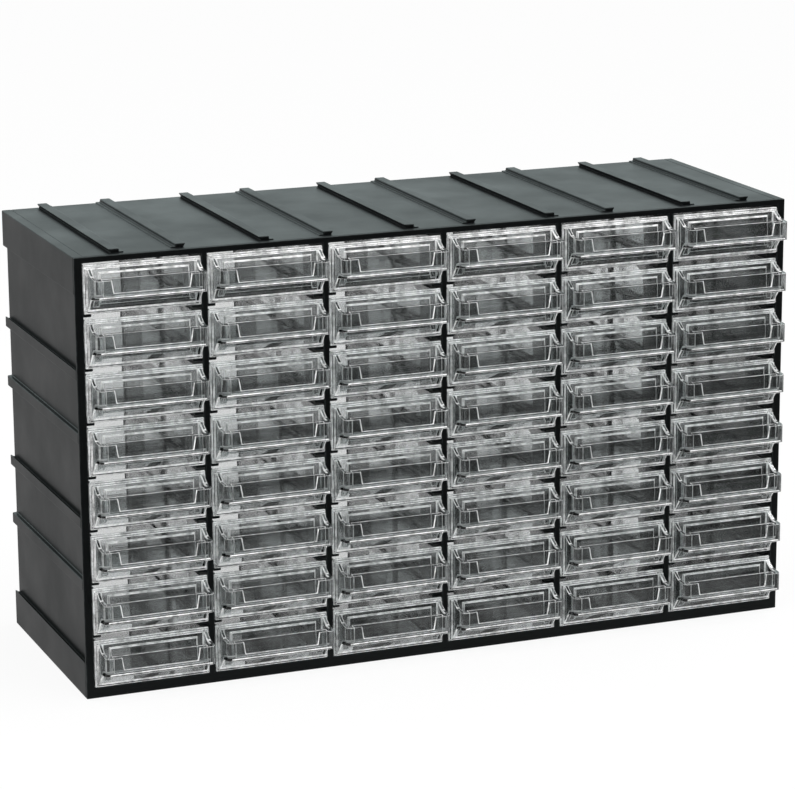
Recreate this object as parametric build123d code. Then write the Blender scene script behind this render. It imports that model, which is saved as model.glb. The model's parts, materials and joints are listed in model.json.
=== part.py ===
from build123d import *
import os

# A stacking parts cabinet: a black moulded body with columns of clear drawers.
# It stands on Z = 0 with the middle of its body on X = Y = 0. The drawers face -Y.
# Columns count from the left (-X) and rows from the top. All sizes are millimetres.

# Driving dimensions of the body
module_width = 382.0  # over the flat side faces, which is also the stacking pitch sideways
module_height = 222.0  # from the base to the flat top face, the stacking pitch upwards
body_depth = 132.0  # from the front frame's face to the open back
column_count = 6
row_count = 8
top_wall = 3.0
sheet_thickness = 1.5  # what is left of the side and bottom panels under a channel
web_thickness = 2.0  # a divider between two columns
edge_flange = 5.0  # width of a side panel's upper and lower edge
panel_tongue = 1.4  # how far the top and bottom panels reach into those edges
tongue_thickness = 1.0
groove_depth = 0.7  # how deep a divider sits in the panels and the front frame
joint_clearance = 0.1  # between the cabinet's own pieces

# Stacking dovetails: ribs on the top and the right, channels below and on the left
side_dovetails = 3
top_dovetails = 5
channel_mouth = 37.0
channel_depth = 2.2
channel_undercut = 1.3
channel_bar = 5.5  # the bar beside each channel, flush with the outer face
rib_height = 2.0
rib_width = 5.4
rib_foot_width = 2.2
rib_foot_height = 0.5
rib_setback = 4.5  # from the front face to the ribs' front ends
stacking_clearance = 0.3

# Front frame, rear frame and the runners that carry the drawers
frame_thickness = 1.8
frame_bar = 3.0
rear_thickness = 2.0
rear_lip = 2.5
rear_sill = 3.6
rear_head = 1.8
post_width = 2.6
post_spacing = 11.5
runner_width = 5.0
runner_thickness = 1.7

# Arched windows in the dividers, two under each arch
arch_front = 31.0  # from the front face to the arch
arch_rear = 24.0  # from the back edge to the arch
arch_post = 4.0
arch_sill = 1.0
arch_head = 2.2  # web left between the crown and the next runner
arch_rise = 6.5

# Drawer box and front plate
drawer_wall = 1.2
drawer_lift = 0.1  # running clearance between a drawer and its runners
box_side_gap = 2.15
box_rim_drop = 1.4  # from the top of the plate to the rim of the box
drawer_back_gap = 1.0
plate_thickness = 1.5
plate_side_gap = 0.35
plate_top_gap = 0.9
drawer_travel = 100.0
stop_lug_length = 3.0
stop_lug_height = 3.0
stop_lug_gap = 0.15

# Pull: a scoop with a card holder on its front
pull_reach = 16.0
pull_side_step = 1.35
cheek_thickness = 2.0
pull_corner = 2.0
root_reach = 2.2
root_side_step = 0.6
root_top_drop = 1.5
root_bottom_step = 0.8
pull_top_drop = 5.2
pull_height = 9.2
shoulder_reach = 7.5
shoulder_drop = 4.5
underside_start = 2.4
underside_bend = 7.2
underside_rise = 1.2
scoop_floor = 1.5
pad_side_margin = 7.1
pad_thickness = 1.2
pad_top_drop = 3.6
holder_ledge = 0.6
ledge_height = 0.9
holder_thickness = 1.2
card_slot = 1.0
card_margin = 4.0
card_rest = 1.2
backing_thickness = 1.5
holder_flange = 8.2
holder_flange_slant = 1.2
holder_strip = 2.9
backing_rise = 0.5

# Places worked out from the driving dimensions
left_face = -module_width / 2
right_face = module_width / 2
front_face = -body_depth / 2
back_edge = body_depth / 2
side_wall = channel_depth + sheet_thickness
bottom_wall = channel_depth + sheet_thickness
ceiling = module_height - top_wall
panel_front = front_face + frame_thickness
rear_frame_front = back_edge - rear_thickness
cell_width = (module_width - 2 * side_wall - (column_count - 1) * web_thickness) / column_count
column_pitch = cell_width + web_thickness
row_pitch = (ceiling - bottom_wall) / row_count
frame_opening = column_pitch - frame_bar
plate_width = frame_opening - 2 * plate_side_gap
plate_height = row_pitch - runner_thickness - drawer_lift - plate_top_gap
box_width = cell_width - 2 * box_side_gap
box_height = plate_height - box_rim_drop
box_back = rear_frame_front - front_face - drawer_back_gap
tongue_height_low = bottom_wall / 2
tongue_height_high = module_height - top_wall / 2
overshoot = 1.0  # how far a cutting shape runs past the face that it opens


def column_middle(column):
    """X of the middle of a column, where 0 is the leftmost."""
    return left_face + side_wall + cell_width / 2 + column * column_pitch


def cell_floor(row):
    """Z of the bottom of a row's cells, where 0 is the top row."""
    return ceiling - (row + 1) * row_pitch


def block(x_range, y_range, z_range):
    """A box between two values on each axis."""
    corners = [sorted(x_range), sorted(y_range), sorted(z_range)]
    middle = [(low + high) / 2 for low, high in corners]
    size = [high - low for low, high in corners]
    return Pos(*middle) * Box(*size)


def prism_along_x(outline, x_range):
    """An outline of (y, z) points carried from one X to another."""
    face = make_face(Polyline(*[(x_range[0], y, z) for y, z in outline], close=True))
    return extrude(face, amount=x_range[1] - x_range[0], dir=(1, 0, 0))


def prism_along_y(outline, y_range):
    """An outline of (x, z) points carried from one Y to another."""
    face = make_face(Polyline(*[(x, y_range[0], z) for x, z in outline], close=True))
    return extrude(face, amount=y_range[1] - y_range[0], dir=(0, 1, 0))


def dovetail_middles(count, start, length):
    """The middles of evenly spread dovetails along a face."""
    return [start + (i + 0.5) * length / count for i in range(count)]


def rib_outline(side):
    """Section of one rib of a pair, as (across, outward) points; side is -1 or 1."""
    base = channel_mouth / 2 - stacking_clearance
    lip = base + channel_undercut
    inner = lip - rib_width
    foot = inner - rib_foot_width
    outline = [
        (base, 0),
        (lip, rib_height),
        (inner, rib_height),
        (inner, rib_foot_height),
        (foot, rib_foot_height),
        (foot, 0),
    ]
    return [(side * across, outward) for across, outward in outline]


def channel_outline():
    """Section of one channel, as (across, inward) points."""
    mouth = channel_mouth / 2
    lip = mouth + channel_undercut
    return [(-mouth, 0), (-lip, channel_depth), (lip, channel_depth), (mouth, 0)]


def plain_recesses(middles):
    """Spans between the bars of neighbouring channels."""
    reach = channel_mouth / 2 + channel_bar
    return [(low + reach, high - reach) for low, high in zip(middles, middles[1:])]


def with_runners(panel, x_range):
    """The panel with a runner at the bottom of every cell, between two values of X."""
    y_range = (panel_front, rear_frame_front)
    floors = [cell_floor(row) for row in range(row_count)]
    return panel + [block(x_range, y_range, (floor, floor + runner_thickness)) for floor in floors]


def side_slab(outer, inward):
    """A side panel's wall with its flanged edges, tongue grooves and runners."""
    wall_x = (outer, outer + inward * side_wall)
    flange_x = (outer, outer + inward * edge_flange)
    panel_y = (panel_front, back_edge)
    slab = block(wall_x, panel_y, (0, module_height))
    slab += block(flange_x, panel_y, (ceiling, module_height))
    slab += block(flange_x, panel_y, (0, bottom_wall))
    groove_x = (flange_x[1], flange_x[1] - inward * (panel_tongue + joint_clearance))
    for middle in (tongue_height_low, tongue_height_high):
        half = tongue_thickness / 2 + joint_clearance
        slab -= block(groove_x, panel_y, (middle - half, middle + half))
    runner_x = (wall_x[1], wall_x[1] + inward * runner_width)
    return with_runners(slab, runner_x)


def left_side_panel():
    """Female side: three dovetail channels with plain recesses between their bars."""
    panel = side_slab(left_face, 1)
    middles = dovetail_middles(side_dovetails, 0, module_height)
    run = (panel_front, back_edge)
    recesses = []
    for middle in middles:
        outline = [(left_face + inward, middle + across) for across, inward in channel_outline()]
        recesses.append(prism_along_y(outline, run))
    for low, high in plain_recesses(middles):
        recesses.append(block((left_face, left_face + channel_depth), run, (low, high)))
    return panel - recesses


def right_side_panel():
    """Male side: three pairs of dovetail ribs."""
    ribs = []
    for middle in dovetail_middles(side_dovetails, 0, module_height):
        for side in (-1, 1):
            outline = [(right_face + out, middle + across) for across, out in rib_outline(side)]
            ribs.append(prism_along_y(outline, (front_face + rib_setback, back_edge)))
    return side_slab(right_face, -1) + ribs


def divider_grooves(z_range):
    """The slots that hold the dividers in the top or the bottom panel."""
    half = web_thickness / 2 + joint_clearance
    slots = []
    for divider in range(column_count - 1):
        middle = web_middle(divider)
        slots.append(block((middle - half, middle + half), (panel_front, rear_frame_front), z_range))
    return slots


def web_middle(divider):
    """X of a divider's web, where 0 is the leftmost divider."""
    return column_middle(divider) + column_pitch / 2


def cross_panel(z_range, tongue_middle):
    """A flat panel between the side panels' flanges, with a tongue on either edge."""
    half_width = module_width / 2 - edge_flange
    tongue_x = half_width + panel_tongue
    half_tongue = tongue_thickness / 2
    panel_y = (panel_front, back_edge)
    panel = block((-half_width, half_width), panel_y, z_range)
    tongue_z = (tongue_middle - half_tongue, tongue_middle + half_tongue)
    return panel + block((-tongue_x, tongue_x), panel_y, tongue_z)


def top_panel():
    """Male top: five pairs of dovetail ribs."""
    panel = cross_panel((ceiling, module_height), tongue_height_high)
    panel -= divider_grooves((ceiling - overshoot, ceiling + groove_depth))
    ribs = []
    for middle in dovetail_middles(top_dovetails, left_face, module_width):
        for side in (-1, 1):
            outline = [(middle + across, module_height + out) for across, out in rib_outline(side)]
            ribs.append(prism_along_y(outline, (front_face + rib_setback, back_edge)))
    return panel + ribs


def bottom_panel():
    """Female base: five dovetail channels with plain recesses between their bars."""
    panel = cross_panel((0, bottom_wall), tongue_height_low)
    recesses = divider_grooves((bottom_wall - groove_depth, bottom_wall + overshoot))
    middles = dovetail_middles(top_dovetails, left_face, module_width)
    run = (panel_front, back_edge)
    for middle in middles:
        outline = [(middle + across, inward) for across, inward in channel_outline()]
        recesses.append(prism_along_y(outline, run))
    for low, high in plain_recesses(middles):
        recesses.append(block((low, high), run, (0, channel_depth)))
    return panel - recesses


def arch_cutter(floor):
    """The two arched windows that a divider has in one row, for a web on X = 0."""
    y_front = front_face + arch_front
    y_back = back_edge - arch_rear
    y_middle = (y_front + y_back) / 2
    sill = floor + runner_thickness + arch_sill
    crown = floor + row_pitch - arch_head
    spring = crown - arch_rise
    x = -web_thickness
    outline = [
        Line((x, y_front, spring), (x, y_front, sill)),
        Line((x, y_front, sill), (x, y_back, sill)),
        Line((x, y_back, sill), (x, y_back, spring)),
        ThreePointArc((x, y_back, spring), (x, y_middle, crown), (x, y_front, spring)),
    ]
    arch = extrude(make_face(Wire(outline)), amount=2 * web_thickness, dir=(1, 0, 0))
    post_y = (y_middle - arch_post / 2, y_middle + arch_post / 2)
    return arch - block((-web_thickness, web_thickness), post_y, (floor, crown + overshoot))


def divider():
    """A divider on X = 0: a web with runners on both faces and an arch in every row."""
    seat = groove_depth - joint_clearance
    web_x = (-web_thickness / 2, web_thickness / 2)
    web_y = (panel_front - seat, rear_frame_front)
    piece = block(web_x, web_y, (bottom_wall - seat, ceiling + seat))
    half_width = web_thickness / 2 + runner_width
    piece = with_runners(piece, (-half_width, half_width))
    return piece - [arch_cutter(cell_floor(row)) for row in range(row_count)]


def front_frame():
    """The thin bezel that closes the channels and stands between the columns of drawers."""
    frame_y = (front_face, panel_front)
    frame = block((left_face, right_face), frame_y, (0, module_height))
    opening_z = (bottom_wall + runner_thickness, ceiling)
    cuts = []
    for column in range(column_count):
        middle = column_middle(column)
        opening_x = (middle - frame_opening / 2, middle + frame_opening / 2)
        cuts.append(block(opening_x, frame_y, opening_z))
    half = web_thickness / 2 + joint_clearance
    slot_y = (panel_front - groove_depth, panel_front)
    slot_z = (bottom_wall - groove_depth, ceiling + groove_depth)
    for number in range(column_count - 1):
        middle = web_middle(number)
        cuts.append(block((middle - half, middle + half), slot_y, slot_z))
    return frame - cuts


def rear_frame():
    """The back of the cabinet: a grid with two slim posts in each cell, which stops the drawers."""
    frame_y = (rear_frame_front, back_edge)
    half_width = module_width / 2 - side_wall - joint_clearance
    z_range = (bottom_wall + joint_clearance, ceiling - joint_clearance)
    frame = block((-half_width, half_width), frame_y, z_range)
    half_window = cell_width / 2 - rear_lip
    post_inner = (post_spacing - post_width) / 2
    post_outer = (post_spacing + post_width) / 2
    openings = [(-half_window, -post_outer), (-post_inner, post_inner), (post_outer, half_window)]
    windows = []
    for row in range(row_count):
        floor = cell_floor(row)
        window_z = (floor + rear_sill, floor + row_pitch - rear_head)
        for column in range(column_count):
            middle = column_middle(column)
            windows += [block((middle + low, middle + high), frame_y, window_z) for low, high in openings]
    return frame - windows


def drawer_box():
    """Floor, sides and back of a drawer, with the two stop lugs on its sides."""
    half = box_width / 2
    box = block((-half, half), (plate_thickness, box_back), (0, box_height))
    inside = half - drawer_wall
    hollow_y = (plate_thickness, box_back - drawer_wall)
    box -= block((-inside, inside), hollow_y, (drawer_wall, box_height + overshoot))
    lug_reach = cell_width / 2 - stop_lug_gap
    lug_front = frame_thickness + drawer_travel + joint_clearance
    lug_y = (lug_front, lug_front + stop_lug_length)
    lug_z = (box_height - stop_lug_height, box_height)
    for side in (-1, 1):
        box += block((side * (half - drawer_wall / 2), side * lug_reach), lug_y, lug_z)
    return box


def pull_side_outline():
    """The pull seen from the side, as (y, z) points from its root round to the front."""
    top = plate_height - pull_top_drop
    bottom = top - pull_height
    front = -pull_reach + holder_ledge
    return [
        (0, plate_height - root_top_drop),
        (-root_reach, plate_height - root_top_drop),
        (-shoulder_reach, plate_height - shoulder_drop),
        (front, top),
        (front, bottom),
        (-underside_bend, bottom - underside_rise),
        (-root_reach, underside_start),
        (0, underside_start),
    ]


def pull():
    """The scoop in front of the plate, open at the top, with its card holder."""
    half = plate_width / 2 - pull_side_step
    top = plate_height - pull_top_drop
    bottom = top - pull_height
    front = -pull_reach + holder_ledge
    body = prism_along_x(pull_side_outline(), (-half, half))
    corners = body.edges().filter_by(Axis.Z).group_by(Axis.Y)[0]
    body = fillet(corners, min(pull_corner, cheek_thickness * 0.99))

    backing_front = front + holder_thickness + card_slot
    backing_back = backing_front + backing_thickness
    floor_front = bottom + scoop_floor
    floor_bend = floor_front - underside_rise
    root_floor = underside_start + scoop_floor
    scoop = [
        (-root_reach, plate_height),
        (backing_back, plate_height),
        (backing_back, floor_front),
        (-underside_bend, floor_bend),
        (-root_reach, root_floor),
    ]
    inside = half - cheek_thickness
    body -= prism_along_x(scoop, (-inside, inside))

    slot_half = half - card_margin
    slot_y = (front + holder_thickness, backing_front)
    body -= block((-slot_half, slot_half), slot_y, (bottom + card_rest, plate_height))

    opening = half - holder_flange
    window = [
        (-opening, top + overshoot),
        (-opening + holder_flange_slant, bottom + holder_strip),
        (opening - holder_flange_slant, bottom + holder_strip),
        (opening, top + overshoot),
    ]
    body -= prism_along_y(window, (front - overshoot, front + holder_thickness))
    body += block((-slot_half, slot_half), (backing_front, backing_back), (top - overshoot, top + backing_rise))

    ledge_half = half - pull_corner
    ledge_y = (-pull_reach, front + holder_thickness / 2)
    body += block((-ledge_half, ledge_half), ledge_y, (bottom, bottom + ledge_height))
    return body


def drawer():
    """One clear drawer, with the middle of its plate's front lower edge at the origin."""
    half = plate_width / 2
    piece = block((-half, half), (0, plate_thickness), (0, plate_height))
    piece += drawer_box()
    root_half = half - root_side_step
    root_z = (root_bottom_step, plate_height - root_top_drop)
    piece += block((-root_half, root_half), (-root_reach, 0), root_z)
    piece += pull()
    pad_half = half - pad_side_margin
    pad_y = (-root_reach - pad_thickness, -root_reach)
    piece += block((-pad_half, pad_half), pad_y, (underside_start + scoop_floor, plate_height - pad_top_drop))
    return piece


def drawer_place(row, column):
    """Where a closed drawer stands in the cabinet."""
    rest = cell_floor(row) + runner_thickness + drawer_lift
    return Pos(column_middle(column), front_face, rest)


def write(name, piece):
    """Writes one node and prints its size."""
    export_step(piece, f"parts/{name}.step")
    size = piece.bounding_box().size
    print(f"{name}: {size.X:.2f} x {size.Y:.2f} x {size.Z:.2f}, {piece.volume / 1000:.1f} cm3")


os.makedirs("parts", exist_ok=True)

write("left_side_panel", left_side_panel())
write("right_side_panel", right_side_panel())
write("top_panel", top_panel())
write("bottom_panel", bottom_panel())
write("front_frame", front_frame())
write("rear_frame", rear_frame())

one_divider = divider()
for number in range(column_count - 1):
    write(f"divider_{number + 1}", Pos(web_middle(number), 0, 0) * one_divider)

one_drawer = drawer()
for row in range(row_count):
    for column in range(column_count):
        write(f"drawer_r{row + 1}_c{column + 1}", drawer_place(row, column) * one_drawer)
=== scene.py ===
# %% [markdown]
# # A parts bin cabinet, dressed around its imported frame
# The real object is a black moulded body that holds 48 crystal-clear drawers. The CAD part already has every
# piece at its real size, with sharp edges. A moulded edge is never sharp: the mould's own radius, a few tenths
# of a millimetre, catches the light as a thin line, and on clear plastic that line is most of what the eye
# sees. So each piece here starts from a copy of its CAD node, is merged into clean faces, gets its moulded
# edges, and then a material that follows the real plastic.

# %% Load the frame
import json
import math

import bmesh
import bpy
from mathutils import Matrix, Vector


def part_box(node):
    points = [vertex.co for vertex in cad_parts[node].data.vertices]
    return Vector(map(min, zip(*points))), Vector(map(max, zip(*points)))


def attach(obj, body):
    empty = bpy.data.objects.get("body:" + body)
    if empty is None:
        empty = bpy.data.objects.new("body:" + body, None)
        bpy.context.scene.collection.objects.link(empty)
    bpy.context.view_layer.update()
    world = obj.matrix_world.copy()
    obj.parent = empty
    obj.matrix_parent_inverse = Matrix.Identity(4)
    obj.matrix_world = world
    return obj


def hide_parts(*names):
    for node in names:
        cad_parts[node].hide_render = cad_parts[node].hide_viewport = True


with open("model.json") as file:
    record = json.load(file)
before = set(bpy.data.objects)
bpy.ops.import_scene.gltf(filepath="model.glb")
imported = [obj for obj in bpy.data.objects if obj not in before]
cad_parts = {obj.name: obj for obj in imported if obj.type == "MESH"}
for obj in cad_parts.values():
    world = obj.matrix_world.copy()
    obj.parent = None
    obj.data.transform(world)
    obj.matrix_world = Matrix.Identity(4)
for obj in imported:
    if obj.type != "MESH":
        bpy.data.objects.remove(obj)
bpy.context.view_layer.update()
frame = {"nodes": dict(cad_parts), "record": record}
MM = 0.001

# %% [markdown]
# ## Colours
# A colour given as a hex code is an sRGB value, and shaders work in linear light. A grey that is written as a
# tenth of white is only a hundredth of it in linear light, so a hex code typed straight into a shader comes out
# far too pale. One function turns the code into linear numbers, and every colour below goes through it.

# %% From an sRGB hex code to linear light
def linear(hex_code):
    """An sRGB hex code as a linear RGBA colour."""
    channels = [int(hex_code[i:i + 2], 16) / 255 for i in (1, 3, 5)]
    return [c / 12.92 if c <= 0.04045 else ((c + 0.055) / 1.055) ** 2.4 for c in channels] + [1.0]


WHITE = linear("#ffffff")
print("middle grey #808080 in linear light:", [round(c, 3) for c in linear("#808080")[:3]])

# %% [markdown]
# ## Nodes
# A material is a small graph of nodes. Nodes could be added one line at a time, but the same four steps come
# back for each: make the node, choose its mode, set its values, link its inputs. One function does all four,
# so that a material reads as a list of what it is made of.

# %% One function that adds a node, and one for a new material
def add_node(tree, kind, settings=None, **inputs):
    """A node of that kind; an input is a value, or an output socket to link from."""
    node = tree.nodes.new(kind)
    for name, value in (settings or {}).items():
        setattr(node, name, value)
    for name, value in inputs.items():
        socket = node.inputs[int(name[1:]) if name[1:].isdigit() else name.replace("_", " ")]
        if isinstance(value, bpy.types.NodeSocket):
            tree.links.new(value, socket)
        else:
            socket.default_value = value
    return node


def new_material(name):
    """An empty node material and its tree."""
    material = bpy.data.materials.new(name)
    material.use_nodes = True
    material.node_tree.nodes.clear()
    return material, material.node_tree


print("helpers:", add_node.__name__, new_material.__name__)

# %% [markdown]
# ## Black polystyrene, satin moulded
# The body is injection-moulded black polystyrene from a spark-eroded mould, so it has a fine satin grain and
# no colour grain at all. The eye reads it by its sheen: nearly black face on, and grey where a surface is
# seen at a low angle. A plain dark colour would look like paint, so three things are added: slow variation
# where the melt flowed, the satin grain, and paler rounded edges, which are partly rubbed wear and partly a
# painted highlight. Each is a noise of its own size. A noise rarely leaves the range of 0.3 to 0.7, so a Map Range
# stretches that middle part.

# %% Sizes of the body's grain, flow and wear
GRAIN = 0.9 * MM  # the real grain is about 0.2 mm; this is as fine as the picture can show
GRAIN_DEPTH = 0.05 * MM  # drawn deeper than the real grain, along with its size
FLOW = 35 * MM  # flow marks wander over a few centimetres
FLOW_LIFT = 1.18  # how much paler the base colour is at most, where the melt flowed last
# the paler patches on the edges are partly rubbed wear and partly a painted highlight
RUB_AND_HIGHLIGHT_PATCH = 4 * MM  # a rubbed patch on an edge
print("grain, flow and wear in mm:", [round(size / MM, 2) for size in (GRAIN, FLOW, RUB_AND_HIGHLIGHT_PATCH)])


# %% The body's colour
def satin_colour(tree, place, flow, colour, rubbed_and_highlit):
    """The base colour: paler where the melt flowed last and, in patches, on the rounded edges, where rubbed wear
    and a painted highlight are drawn together.
    """
    rub = add_node(tree, "ShaderNodeTexNoise", Vector=place, Scale=1 / RUB_AND_HIGHLIGHT_PATCH, Detail=4.0, Roughness=0.7)
    patchy = add_node(tree, "ShaderNodeMapRange", Value=rub.outputs["Fac"], From_Min=0.35, From_Max=0.65)
    # the rounded edges are paler in patches: partly rubbed wear, partly a painted highlight along each edge
    edge = add_node(tree, "ShaderNodeAttribute", {"attribute_name": "moulded_edge"})
    worn_and_highlit = add_node(tree, "ShaderNodeMath", {"operation": "MULTIPLY"}, _0=edge.outputs["Fac"],
                    _1=patchy.outputs[0])
    tone = add_node(tree, "ShaderNodeMapRange", Value=flow, From_Min=0.3, From_Max=0.7)
    deep = linear(colour)
    pale = [channel * FLOW_LIFT for channel in deep[:3]] + [1.0]
    base = add_node(tree, "ShaderNodeMix", {"data_type": "RGBA"}, Factor=tone.outputs[0], _6=deep, _7=pale)
    return add_node(tree, "ShaderNodeMix", {"data_type": "RGBA"}, Factor=worn_and_highlit.outputs[0],
                    _6=base.outputs[2], _7=linear(rubbed_and_highlit)).outputs[2]


print("flow marks are up to", round((FLOW_LIFT - 1) * 100), "% paler than the plain black")

# %% [markdown]
# The index of bare polystyrene is 1.59, and a plain 1.5 with a lowered specular level stands for its satin
# skin. The roughness wanders slowly between two values, which is what keeps a broad panel from looking
# computed. The specular tint makes the sheen faintly cool, as it is in the photograph.

# %% Black body material
SATIN_ROUGHNESS = (0.32, 0.42)  # polished plastic is near 0.1 and sanded plastic near 0.6
SATIN_SHEEN = 0.22  # bare plastic has 0.5; the grain takes more than half of its mirror image


def satin_black(name, colour, rubbed_and_highlit):
    """Black polystyrene with a satin grain, slow flow marks, and paler edges that are partly rubbed wear and
    partly a painted highlight.
    """
    material, tree = new_material(name)
    place = add_node(tree, "ShaderNodeTexCoord").outputs["Object"]
    grain = add_node(tree, "ShaderNodeTexNoise", Vector=place, Scale=1 / GRAIN, Detail=2.0, Roughness=0.6)
    flow = add_node(tree, "ShaderNodeTexNoise", Vector=place, Scale=1 / FLOW, Detail=3.0,
                    Roughness=0.55).outputs["Fac"]
    rough = add_node(tree, "ShaderNodeMapRange", Value=flow, From_Min=0.3, From_Max=0.7,
                     To_Min=SATIN_ROUGHNESS[0], To_Max=SATIN_ROUGHNESS[1])
    bump = add_node(tree, "ShaderNodeBump", Strength=0.25, Distance=GRAIN_DEPTH, Height=grain.outputs["Fac"])
    shader = add_node(tree, "ShaderNodeBsdfPrincipled",
                      Base_Color=satin_colour(tree, place, flow, colour, rubbed_and_highlit), Roughness=rough.outputs[0],
                      Normal=bump.outputs[0], IOR=1.5, Specular_IOR_Level=SATIN_SHEEN,
                      Specular_Tint=linear("#e9f3f2"))
    add_node(tree, "ShaderNodeOutputMaterial", Surface=shader.outputs[0])
    return material


# moulded polystyrene with a spark-eroded skin: the eye gets a soft grey sheen over near black
# 26292a is the paler edge colour, partly rubbed wear and partly a painted highlight
black_polystyrene = satin_black("black_polystyrene_satin", "#0a0b0c", "#26292a")
print("material:", black_polystyrene.name, "with", len(black_polystyrene.node_tree.nodes), "nodes")

# %% [markdown]
# ## Crystal polystyrene
# The drawers are moulded in crystal polystyrene, the clearest cheap plastic, with a high index of 1.59. It is
# made as a real solid with two faces to every wall, not as a thin see-through skin, so light bends in and out
# of it, and the black body and the white room behind give it its look. What the eye reads is the contrast of
# white edge lines against clear dark windows, and the white lines are partly painted highlights. Four patterns
# carry it: slow waves and fine draw lines that bend what is seen behind, a little haze, and breaks along the
# painted white edges.

# %% Sizes of the drawers' waves, lines, haze and breaks
WAVE = 9 * MM  # slow waves in a moulded wall
STREAK = 1.6 * MM  # the real draw lines are finer; these are as fine as the picture can show
STREAK_STRETCH = 0.03  # the noise is drawn out along the drawer's width by one over this
HAZE = 14 * MM  # patches of faint haze
# the painted edge highlight is broken into stretches of this length
HIGHLIGHT_BREAK = 5 * MM  # an edge sparkles in stretches of about this length
RIPPLE_DEPTH = 0.03 * MM
print("waves, draw lines, haze and breaks in mm:", [round(size / MM, 2) for size in (WAVE, STREAK, HAZE, HIGHLIGHT_BREAK)])


# %% Waves and draw lines
def draw_lines(tree, place):
    """A fine noise drawn out along the drawer's width."""
    scale = (STREAK_STRETCH / STREAK, 1 / STREAK, 1 / STREAK)
    along = add_node(tree, "ShaderNodeMapping", Vector=place, Scale=scale)
    return add_node(tree, "ShaderNodeTexNoise", Vector=along.outputs[0], Scale=1.0, Detail=2.0).outputs["Fac"]


def rippled_normal(tree, place, streak):
    """The normal of a face with slow waves and draw lines in it."""
    wave = add_node(tree, "ShaderNodeTexNoise", Vector=place, Scale=1 / WAVE, Detail=1.0)
    waved = add_node(tree, "ShaderNodeBump", Strength=0.3, Distance=RIPPLE_DEPTH, Height=wave.outputs["Fac"])
    return add_node(tree, "ShaderNodeBump", Strength=0.5, Distance=RIPPLE_DEPTH, Height=streak,
                    Normal=waved.outputs[0]).outputs[0]


print("a draw line is about", round(1 / STREAK_STRETCH), "times as long as it is wide")

# %% [markdown]
# The plate and the pull are handled and seen from close by, so they are treated apart from the box behind them.
# All drawers stand on one plane, and a drawer's object stays at the origin, so its depth in Object coordinates
# tells the three parts from each other. This holds when the drawer slides too, because the coordinates slide
# along with it.

# %% Which part of a drawer a point is in
PLATE_FRONT = -66 * MM
PLATE_ZONE = 2.4 * MM  # the plate is 1.5 mm thick; its inner edges belong to it too
PAD_ZONE = 1.4 * MM  # the raised pad on the plate is 1.2 mm thick


def drawer_parts(tree, place):
    """One where the point is in the front of the drawer, and one where it is in the pull."""
    depth = add_node(tree, "ShaderNodeSeparateXYZ", Vector=place).outputs["Y"]
    front = add_node(tree, "ShaderNodeMath", {"operation": "LESS_THAN"}, _0=depth, _1=PLATE_FRONT + PLATE_ZONE)
    pull = add_node(tree, "ShaderNodeMath", {"operation": "LESS_THAN"}, _0=depth, _1=PLATE_FRONT - PAD_ZONE)
    return front.outputs[0], pull.outputs[0]


print("the plate lies at y =", round(PLATE_FRONT / MM, 1), "mm, and the pull starts", round(PAD_ZONE / MM, 1),
      "mm in front of it")

# %% [markdown]
# A clear edge sparkles because it gathers light from everywhere and sends it out in one line. A path tracer
# with few samples can't find those paths, so the edge gets a painted highlight instead: a share of it is made
# white and matt and scatters light like white plastic, broken up by noise as the real sparkle is. Inside the box
# the share is small, or the lines would fill the windows with grey. The upper half of the plate also gets faint
# white draw lines, which are painted light from an overhead lamp entering the plate's top edge.

# %% How much of each edge is painted white as a highlight
INNER_SHARE = 0.12  # of the frost on the same edge in front
# the white draw lines are painted light, as if an overhead lamp entered the plate's top edge
PAINTED_LINE_SHARE = 0.3  # of the light, in the middle of a draw line


def painted_highlight_share(tree, place, streak, in_front, in_pull):
    """The share that is painted white, from 0 to 1: a highlight on the edges and painted light in the plate's draw
    lines.
    """
    edge = add_node(tree, "ShaderNodeAttribute", {"attribute_name": "moulded_edge"})
    broken = add_node(tree, "ShaderNodeTexNoise", Vector=place, Scale=1 / HIGHLIGHT_BREAK, Detail=3.0, Roughness=0.7)
    sparkle = add_node(tree, "ShaderNodeMapRange", Value=broken.outputs["Fac"], From_Min=0.38, From_Max=0.6,
                       To_Min=0.4, To_Max=1.0)
    share = add_node(tree, "ShaderNodeMapRange", Value=in_front, To_Min=INNER_SHARE, To_Max=1.0)
    # painted highlight: the edges are made partly white and matt, and less so inside the box
    painted_edge_share = add_node(tree, "ShaderNodeMath", {"operation": "MULTIPLY"}, _0=sparkle.outputs[0],
                     _1=share.outputs[0])
    edges = add_node(tree, "ShaderNodeMath", {"operation": "MULTIPLY"}, _0=edge.outputs["Fac"],
                     _1=painted_edge_share.outputs[0])
    # painted light: white draw lines on the upper part of the plate only, where overhead light enters its top edge
    # and scatters
    height = add_node(tree, "ShaderNodeAttribute", {"attribute_name": "drawer_height"})
    lit_upper_plate = add_node(tree, "ShaderNodeMapRange", Value=height.outputs["Fac"], From_Min=0.55, From_Max=0.9)
    painted_light_lines = add_node(tree, "ShaderNodeMapRange", Value=streak, From_Min=0.4, From_Max=0.6, To_Min=0.0,
                     To_Max=PAINTED_LINE_SHARE)
    painted_light_on_plate = add_node(tree, "ShaderNodeMath", {"operation": "MULTIPLY"}, _0=lit_upper_plate.outputs[0], _1=painted_light_lines.outputs[0])
    plate = add_node(tree, "ShaderNodeMath", {"operation": "SUBTRACT"}, _0=in_front, _1=in_pull)
    painted_light_on_plate = add_node(tree, "ShaderNodeMath", {"operation": "MULTIPLY"}, _0=painted_light_on_plate.outputs[0], _1=plate.outputs[0])
    return add_node(tree, "ShaderNodeMath", {"operation": "MAXIMUM"}, _0=edges.outputs[0],
                    _1=painted_light_on_plate.outputs[0]).outputs[0]


print("an edge inside the box scatters", INNER_SHARE, "of what the same edge in front does")


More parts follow.
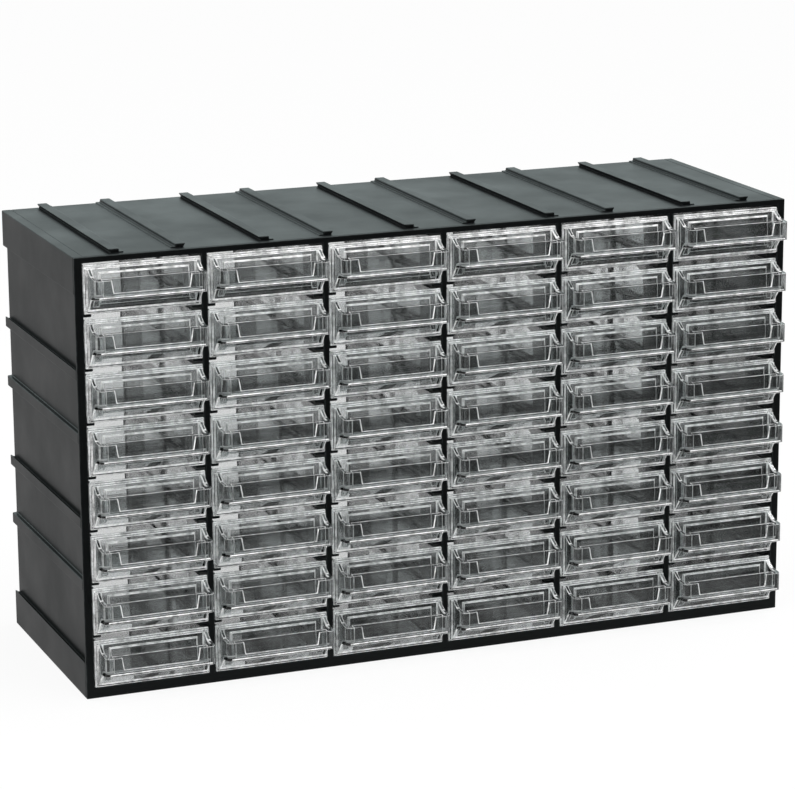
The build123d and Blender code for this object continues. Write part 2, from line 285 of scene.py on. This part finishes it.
# %% The colour of the clear plastic
def clear_tint(tree, in_pull, face, pull, painted_edge_white):
    """Almost colourless, greyer in the pull as a painted reflection, and white on the edges as a painted
    highlight.
    """
    edge = add_node(tree, "ShaderNodeAttribute", {"attribute_name": "moulded_edge"})
    body = add_node(tree, "ShaderNodeMix", {"data_type": "RGBA"}, Factor=in_pull, _6=linear(face), _7=linear(pull))
    return add_node(tree, "ShaderNodeMix", {"data_type": "RGBA"}, Factor=edge.outputs["Fac"],
                    _6=body.outputs[2], _7=linear(painted_edge_white)).outputs[2]


# the white of the edges is a painted highlight
CLEAR_FACE, GREY_PULL, PAINTED_EDGE_WHITE = "#f8f9f9", "#c8cbcb", "#ffffff"
print("clear face and pull in linear light:", round(linear(CLEAR_FACE)[1], 2), round(linear(GREY_PULL)[1], 2))

# %% [markdown]
# Solid clear plastic blocks a lamp's direct light in a path tracer, and the cabinet behind it would go dark. So
# for the rays that ask whether a lamp is in sight, the shader is swapped for a plain transparent one. The grey
# of the pull stands for the dark side of a room that the real one mirrors, and is deeper than the plastic's own.

# %% Clear drawer material
CRYSTAL_INDEX = 1.59
CLEAR_ROUGHNESS = (0.01, 0.035)  # a polished mould, with its haze


def crystal(name, face, pull, painted_edge_white):
    """Crystal polystyrene: a clear solid with a painted white highlight on its edges, waves, draw lines and a
    little haze.
    """
    material, tree = new_material(name)
    place = add_node(tree, "ShaderNodeTexCoord").outputs["Object"]
    in_front, in_pull = drawer_parts(tree, place)
    streak = draw_lines(tree, place)
    haze = add_node(tree, "ShaderNodeTexNoise", Vector=place, Scale=1 / HAZE, Detail=4.0, Roughness=0.6)
    rough = add_node(tree, "ShaderNodeMapRange", Value=haze.outputs["Fac"], From_Min=0.35, From_Max=0.7,
                     To_Min=CLEAR_ROUGHNESS[0], To_Max=CLEAR_ROUGHNESS[1])
    painted_share = painted_highlight_share(tree, place, streak, in_front, in_pull)
    clear = add_node(tree, "ShaderNodeMath", {"operation": "SUBTRACT"}, _0=1.0, _1=painted_share)
    plastic = add_node(tree, "ShaderNodeBsdfPrincipled", Roughness=rough.outputs[0], IOR=CRYSTAL_INDEX,
                       Base_Color=clear_tint(tree, in_pull, face, pull, painted_edge_white),
                       Normal=rippled_normal(tree, place, streak), Transmission_Weight=clear.outputs[0])
    lamp_ray = add_node(tree, "ShaderNodeLightPath").outputs["Is Shadow Ray"]
    through = add_node(tree, "ShaderNodeBsdfTransparent", Color=linear("#e6eaea"))
    mixed = add_node(tree, "ShaderNodeMixShader", _0=lamp_ray, _1=plastic.outputs[0], _2=through.outputs[0])
    add_node(tree, "ShaderNodeOutputMaterial", Surface=mixed.outputs[0])
    return material


# polished crystal polystyrene: the eye gets dark clear windows between white lines, which are partly painted
# highlights
crystal_polystyrene = crystal("crystal_polystyrene_clear", CLEAR_FACE, GREY_PULL, PAINTED_EDGE_WHITE)
print("material:", crystal_polystyrene.name, "with", len(crystal_polystyrene.node_tree.nodes), "nodes")

# %% [markdown]
# ## From a CAD node to a moulded piece
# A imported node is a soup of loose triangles. A copy of it is merged, and its triangles are sorted into flat
# regions, whose borders are the real edges. A mould rounds those edges, more on a broad face than on a thin
# lip, and one fixed radius would eat the thin lips away. So each sharp edge gets a bevel weight from the
# narrower of its two regions, and one Bevel modifier rounds them all, each by its own radius.

# %% What counts as flat, sharp and broad
FLAT = math.radians(2)  # two faces that bend less than this are one flat region
SHARP = math.radians(28)  # every bend sharper than this is rounded
GENTLE = math.radians(10)  # a bend this sharp is rounded too where one of its faces is broad
BROAD = 1.0 * MM
print("flat below", round(math.degrees(FLAT)), "degrees, sharp above", round(math.degrees(SHARP)))


# %% Flat regions
def flat_region(start, seen):
    """All faces that are reached from this one without a bend."""
    region, stack = [], [start]
    seen.add(start.index)
    while stack:
        face = stack.pop()
        region.append(face)
        for edge in face.edges:
            for other in edge.link_faces:
                if other.index not in seen and edge.calc_face_angle(math.pi) < FLAT:
                    seen.add(other.index)
                    stack.append(other)
    return region


def region_widths(bm):
    """The mean width of the flat region that each face belongs to, by face index."""
    widths, seen = {}, set()
    for start in bm.faces:
        if start.index in seen:
            continue
        region = flat_region(start, seen)
        inside = {face.index for face in region}
        border = sum(e.calc_length() for f in region for e in f.edges
                     if any(o.index not in inside for o in e.link_faces))
        width = 2 * sum(face.calc_area() for face in region) / max(border, 1e-9)
        widths.update({face.index: width for face in region})
    return widths


print("a long strip counts as its own width, and a square as half its side")

# %% [markdown]
# A rounded edge only looks round if its shading turns smoothly while the broad faces beside it stay flat.
# Blender's own smooth shading bends the broad faces as well, which on clear plastic makes a window look like a
# lens. So every face corner gets its own normal: on a broad face the face's own, and on a rounded edge that of
# the broad face it runs into, so the light rolls over the edge and stops there.

# %% Shading that rolls over an edge
NARROW = 0.42 * MM  # rounded edges are narrower than this, flat faces wider
LARGEST_TURN = math.radians(62)  # faces that turn more than this from each other don't share a rounded edge
SAME_EDGE = math.cos(LARGEST_TURN)


def corner_normal(face, corner, widths):
    """Flat on a broad face; on a rounded edge, it turns from one broad face to the next."""
    if widths[face.index] > NARROW:
        return face.normal
    beside = [f for f in corner.link_faces if f.normal.dot(face.normal) > SAME_EDGE]
    broad = [f for f in beside if widths[f.index] > NARROW]
    if broad:
        return max(broad, key=lambda f: f.normal.dot(face.normal)).normal
    return sum((f.normal * f.calc_area() for f in beside), face.normal * 1e-12).normalized()


def roll_light_over_edges(mesh):
    """Marks the faces that the bevel made and gives every corner its normal."""
    bm = bmesh.new()
    bm.from_mesh(mesh)
    bm.faces.ensure_lookup_table()
    bm.normal_update()
    widths = region_widths(bm)
    normals = [corner_normal(face, loop.vert, widths)[:] for face in bm.faces for loop in face.loops]
    mark = mesh.attributes.new("moulded_edge", "FLOAT", "FACE")
    mark.data.foreach_set("value", [float(face.material_index) for face in bm.faces])
    bm.free()
    mesh.polygons.foreach_set("material_index", [0] * len(mesh.polygons))
    mesh.normals_split_custom_set(normals)


print("a strip under", round(NARROW / MM, 2), "mm is shaded as part of a rounded edge")

# %% [markdown]
# The radius at an edge is at most 0.4 of the face beside it, so that two rounded edges never meet in the
# middle of a lip. It is also at most 0.45 of the shortest rounded edge at each of its ends, because a bevel
# that outgrows its corner throws out a spike. These two limits are why the modifier needs no clamp of its own.

# %% A radius for every edge
SHARE_OF_FACE = 0.4
SHARE_OF_EDGE = 0.45


def weigh_edges(bm, largest_radius):
    """Gives every sharp edge its share of the largest radius."""
    widths = region_widths(bm)
    weight = bm.edges.layers.float.new("bevel_weight_edge")
    for edge in bm.edges:
        turn = edge.calc_face_angle()
        narrow, broad = sorted(widths[face.index] for face in edge.link_faces)
        if turn > SHARP or (turn > GENTLE and broad > BROAD):
            edge[weight] = min(1.0, SHARE_OF_FACE * narrow / largest_radius)
        elif turn > FLAT and narrow > BROAD:
            edge.smooth = False
    for corner in bm.verts:
        rounded = [edge for edge in corner.link_edges if edge[weight] > 0]
        for edge in rounded:
            shortest = min(other.calc_length() for other in rounded)
            edge[weight] = min(edge[weight], SHARE_OF_EDGE * shortest / largest_radius)


print("a lip of 1 mm gets a radius of at most", SHARE_OF_FACE, "mm")

# %% [markdown]
# Now the steps come together. The copy is merged and weighed first, and then the modifier is applied by asking
# Blender for the evaluated mesh, so that the finished piece has no live modifier. Two segments are enough for a
# radius this small, because the corner normals do the rest. The bevel puts its own new faces in a second
# material slot for a moment, and that is how they are told from the flat faces and marked for the materials.

# %% The moulded copy
MERGE = 0.03 * MM  # points nearer to each other than this are one point
BEVEL_SEGMENTS = 2


def merged_copy(node_name, largest_radius):
    """A copy of a CAD node as a merged mesh with a bevel weight on every sharp edge."""
    bm = bmesh.new()
    bm.from_mesh(frame["nodes"][node_name].data)
    bmesh.ops.remove_doubles(bm, verts=bm.verts, dist=MERGE)
    bmesh.ops.join_triangles(bm, faces=bm.faces, angle_face_threshold=FLAT, angle_shape_threshold=math.pi)
    bm.faces.index_update()
    weigh_edges(bm, largest_radius)
    for face in bm.faces:
        face.smooth = True
    mesh = bpy.data.meshes.new("sharp")
    bm.to_mesh(mesh)
    bm.free()
    return mesh


def moulded_mesh(node_name, largest_radius):
    """The finished mesh of a CAD node, each sharp edge rounded to suit the faces beside it."""
    sharp_mesh = merged_copy(node_name, largest_radius)
    sharp_mesh.materials.append(None)
    sharp_mesh.materials.append(None)
    draft = bpy.data.objects.new("sharp", sharp_mesh)
    bpy.context.scene.collection.objects.link(draft)
    bevel = draft.modifiers.new("mould_radius", "BEVEL")
    bevel.limit_method, bevel.width, bevel.segments = "WEIGHT", largest_radius, BEVEL_SEGMENTS
    bevel.use_clamp_overlap, bevel.material = False, 1
    mesh = bpy.data.meshes.new_from_object(draft.evaluated_get(bpy.context.evaluated_depsgraph_get()))
    bpy.data.objects.remove(draft)
    roll_light_over_edges(mesh)
    return mesh


print("each rounded edge has", BEVEL_SEGMENTS, "segments")

# %% [markdown]
# ## Pieces that ride and replace
# A finished mesh becomes a piece by three facts: the body that it rides on, so that it moves with its joint,
# the CAD node that it stands for, which is then hidden, and the material that fills its mesh's slot.

# %% A finished piece
def finish_piece(mesh, name, material, body, node_name):
    """Makes a finished mesh a piece that rides on a body and stands for its node."""
    mesh.name = name
    mesh.materials.clear()
    mesh.materials.append(material)
    piece = bpy.data.objects.new(name, mesh)
    bpy.context.scene.collection.objects.link(piece)
    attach(piece, body)
    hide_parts(node_name)
    return piece


print("pieces to finish:", len(frame["nodes"]))

# %% [markdown]
# ## The black body
# Eleven pieces snap together into the body: four panels with dovetail ribs or channels, the front bezel, the
# open grid at the back and five dividers with arched windows. A half-millimetre radius is usual for a large
# moulding of this wall thickness, and it draws the thin grey line along every rib.

# %% The body's pieces
BODY_RADIUS = 0.5 * MM
for node_name in frame["record"]["behaviour"]["bodies"]["cabinet"]:
    mesh = moulded_mesh(node_name, BODY_RADIUS)
    piece = finish_piece(mesh, f"moulded_{node_name}", black_polystyrene, "cabinet", node_name)
    print(piece.name, len(mesh.polygons), "faces")

# %% [markdown]
# ## The drawers
# All 48 drawers come out of one mould, so one is dressed and the others are copies of its mesh, moved to their
# own places. Their clear edges carry the look, so they are rounded a little more than the body's. The height of
# each point within its drawer is stored with the mesh, for the painted light of the white draw lines on the upper
# half of the plate.

# %% One dressed drawer
DRAWER_RADIUS = 0.6 * MM
first_low, first_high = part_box("drawer_r1_c1")
template = moulded_mesh("drawer_r1_c1", DRAWER_RADIUS)
drawer_tall = first_high.z - first_low.z
height = template.attributes.new("drawer_height", "FLOAT", "POINT")
height.data.foreach_set("value", [(v.co.z - first_low.z) / drawer_tall for v in template.vertices])
print("one drawer:", len(template.polygons), "faces,", round(drawer_tall / MM, 1), "mm tall")

# %% All 48 drawers
ROWS, COLUMNS = 8, 6
for row in range(1, ROWS + 1):
    for column in range(1, COLUMNS + 1):
        node_name = f"drawer_r{row}_c{column}"
        mesh = template.copy()
        mesh.transform(Matrix.Translation(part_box(node_name)[0] - first_low))
        finish_piece(mesh, f"clear_{node_name}", crystal_polystyrene, f"drawer_{row}_{column}",
                     node_name)
bpy.data.meshes.remove(template)
print("drawers:", ROWS * COLUMNS)

# %% [markdown]
# ## The room
# A product photographer lights clear plastic from behind and keeps the room in front dark, because a clear
# surface that mirrors a bright room turns grey. The world does the same. It is white to the eye and to light
# that comes through the plastic, soft and even for matt surfaces, and in mirror images it goes from a faintly
# cool white behind the cabinet to nearly black in front. That also keeps the black front black while its top
# shines.

# %% The world
SOFT_LIGHT = 0.85
ROOM_IN_FRONT, ROOM_BEHIND = 0.08, 1.0
DARK_TO, BRIGHT_FROM = -0.6, 0.3  # a direction's Y runs from -1, straight to the front, to 1, to the back
COOL_ROOM = "#edfcfc"
world = bpy.data.worlds.new("studio")
bpy.context.scene.world = world
world.use_nodes = True
tree = world.node_tree
tree.nodes.clear()
direction = add_node(tree, "ShaderNodeTexCoord").outputs["Generated"]
axes = add_node(tree, "ShaderNodeSeparateXYZ", Vector=direction)
toward_back = add_node(tree, "ShaderNodeMapRange", {"interpolation_type": "SMOOTHSTEP"}, Value=axes.outputs["Y"],
                       From_Min=DARK_TO, From_Max=BRIGHT_FROM, To_Min=ROOM_IN_FRONT, To_Max=ROOM_BEHIND)
path = add_node(tree, "ShaderNodeLightPath")
straight = add_node(tree, "ShaderNodeMath", {"operation": "MAXIMUM"}, _0=path.outputs["Is Camera Ray"],
                    _1=path.outputs["Is Transmission Ray"])
soft_light = add_node(tree, "ShaderNodeBackground", Color=WHITE, Strength=SOFT_LIGHT)
mirrored = add_node(tree, "ShaderNodeBackground", Color=linear(COOL_ROOM), Strength=toward_back.outputs[0])
white = add_node(tree, "ShaderNodeBackground", Color=WHITE, Strength=1.0)
indirect = add_node(tree, "ShaderNodeMixShader", _0=path.outputs["Is Glossy Ray"], _1=soft_light.outputs[0],
                    _2=mirrored.outputs[0])
seen = add_node(tree, "ShaderNodeMixShader", _0=straight.outputs[0], _1=indirect.outputs[0], _2=white.outputs[0])
add_node(tree, "ShaderNodeOutputWorld", Surface=seen.outputs[0])
print("world:", world.name, "with", len(tree.nodes), "nodes")

# %% [markdown]
# ## The floor
# The floor is pale card that runs out of sight. To the eye and through the plastic, nine tenths of it is plain
# white, which makes it one with the room, and one tenth is lit card, which keeps the cabinet's soft shadow. In
# mirror images it is half as bright behind the cabinet and dark in front of it, for the same reason as the
# room. That shade lies on the floor itself, so it stays in its place whatever the view is.

# %% Floor material
WHITE_SHARE = 0.9
FLOOR_IN_FRONT, FLOOR_BEHIND = 0.04, 0.5
FLOOR_DARK_TO, FLOOR_BRIGHT_FROM = -0.35, 0.0  # metres from the cabinet's middle, less than 0 in front
pale_floor, tree = new_material("studio_floor")
path = add_node(tree, "ShaderNodeLightPath")
straight = add_node(tree, "ShaderNodeMath", {"operation": "MAXIMUM"}, _0=path.outputs["Is Camera Ray"],
                    _1=path.outputs["Is Transmission Ray"])
any_ray = add_node(tree, "ShaderNodeMath", {"operation": "MAXIMUM"}, _0=straight.outputs[0],
                   _1=path.outputs["Is Glossy Ray"])
share = add_node(tree, "ShaderNodeMath", {"operation": "MULTIPLY"}, _0=any_ray.outputs[0], _1=WHITE_SHARE)
place = add_node(tree, "ShaderNodeTexCoord").outputs["Object"]
axes = add_node(tree, "ShaderNodeSeparateXYZ", Vector=place)
mirror_light = add_node(tree, "ShaderNodeMapRange", {"interpolation_type": "SMOOTHSTEP"}, Value=axes.outputs["Y"],
                        From_Min=FLOOR_DARK_TO, From_Max=FLOOR_BRIGHT_FROM, To_Min=FLOOR_IN_FRONT,
                        To_Max=FLOOR_BEHIND)
strength = add_node(tree, "ShaderNodeMix", _0=path.outputs["Is Glossy Ray"], _2=1.0, _3=mirror_light.outputs[0])
card = add_node(tree, "ShaderNodeBsdfDiffuse", Color=linear("#f4f4f4"))
glow = add_node(tree, "ShaderNodeEmission", Color=WHITE, Strength=strength.outputs[0])
mixed = add_node(tree, "ShaderNodeMixShader", _0=share.outputs[0], _1=card.outputs[0], _2=glow.outputs[0])
add_node(tree, "ShaderNodeOutputMaterial", Surface=mixed.outputs[0])
print("material:", pale_floor.name, "with", len(tree.nodes), "nodes")

# %% The floor itself
HALF_FLOOR = 20  # metres
bm = bmesh.new()
bmesh.ops.create_grid(bm, x_segments=1, y_segments=1, size=HALF_FLOOR)
mesh = bpy.data.meshes.new("studio_floor")
bm.to_mesh(mesh)
bm.free()
mesh.materials.append(pale_floor)
floor = bpy.data.objects.new("studio_floor", mesh)
bpy.context.scene.collection.objects.link(floor)
print("floor:", 2 * HALF_FLOOR, "m wide")

# %% [markdown]
# ## The lamps
# A long strip overhead draws the highlights along the ribs and the drawers' upper edges, and a weak softbox at
# the left lifts the left side. Both are large, so their shadows are soft, and weak, because the room gives most
# of the light.

# %% Two soft lamps
def soft_lamp(name, place, aim, size, watts):
    """A rectangular lamp that faces a point."""
    data = bpy.data.lights.new(name, "AREA")
    data.shape, data.size, data.size_y, data.energy = "RECTANGLE", size[0], size[1], watts
    lamp = bpy.data.objects.new(name, data)
    bpy.context.scene.collection.objects.link(lamp)
    lamp.location = place
    lamp.rotation_euler = (Vector(aim) - Vector(place)).to_track_quat("-Z", "Y").to_euler()
    return lamp


for lamp in (soft_lamp("overhead_strip", place=(0.45, -0.35, 1.5), aim=(0, 0, 0.2), size=(1.6, 0.22), watts=11),
             soft_lamp("left_softbox", place=(-1.4, -0.5, 0.9), aim=(0, 0, 0.12), size=(0.5, 0.5), watts=5)):
    print(lamp.name, lamp.data.energy, "W")

# %% [markdown]
# ## The camera
# The photograph was taken from the left and a little above with a long lens. Its place was found by fitting
# the cabinet's real corners to the picture. Camera axes are built from three angles and set as a matrix,
# because a camera looks along its own minus Z, and that is easy to turn the wrong way with Euler angles.

# %% Camera
AZIMUTH, ELEVATION, ROLL = math.radians(-21.554), math.radians(14.094), math.radians(-0.374)
CAMERA_PLACE = Vector((-608.3, -1541.5, 537.1)) * MM
back = Vector((math.sin(AZIMUTH) * math.cos(ELEVATION), -math.cos(AZIMUTH) * math.cos(ELEVATION),
               math.sin(ELEVATION)))
right = (-back).cross(Vector((0, 0, 1))).normalized()
up = right.cross(-back)
turned_right = math.cos(ROLL) * right + math.sin(ROLL) * up
turned_up = math.cos(ROLL) * up - math.sin(ROLL) * right
data = bpy.data.cameras.new("camera")
data.lens, data.sensor_width, data.sensor_fit = 147.98, 36, "HORIZONTAL"
data.clip_start, data.clip_end = 0.05, 60
camera = bpy.data.objects.new("camera", data)
bpy.context.scene.collection.objects.link(camera)
camera.matrix_world = Matrix.Translation(CAMERA_PLACE) @ Matrix(
    (turned_right, turned_up, back)).transposed().to_4x4()
bpy.context.scene.camera = camera
print("camera", round(CAMERA_PLACE.length, 2), "m from the cabinet's base, lens", round(data.lens, 1), "mm")

# %% [markdown]
# ## How the picture is shown
# The Standard view shows a colour as it is written. A ray has to pass many clear walls before it leaves the
# cabinet, two faces to each wall and several walls to each drawer, so it may bounce more often than usual.

# %% View and bounces
CLEAR_FACES = 24
bpy.context.scene.view_settings.view_transform = "Standard"
bpy.context.scene.cycles.max_bounces = CLEAR_FACES
bpy.context.scene.cycles.transmission_bounces = CLEAR_FACES
print("view:", bpy.context.scene.view_settings.view_transform, "bounces:", CLEAR_FACES)

# %% The last line
bpy.context.view_layer.update()
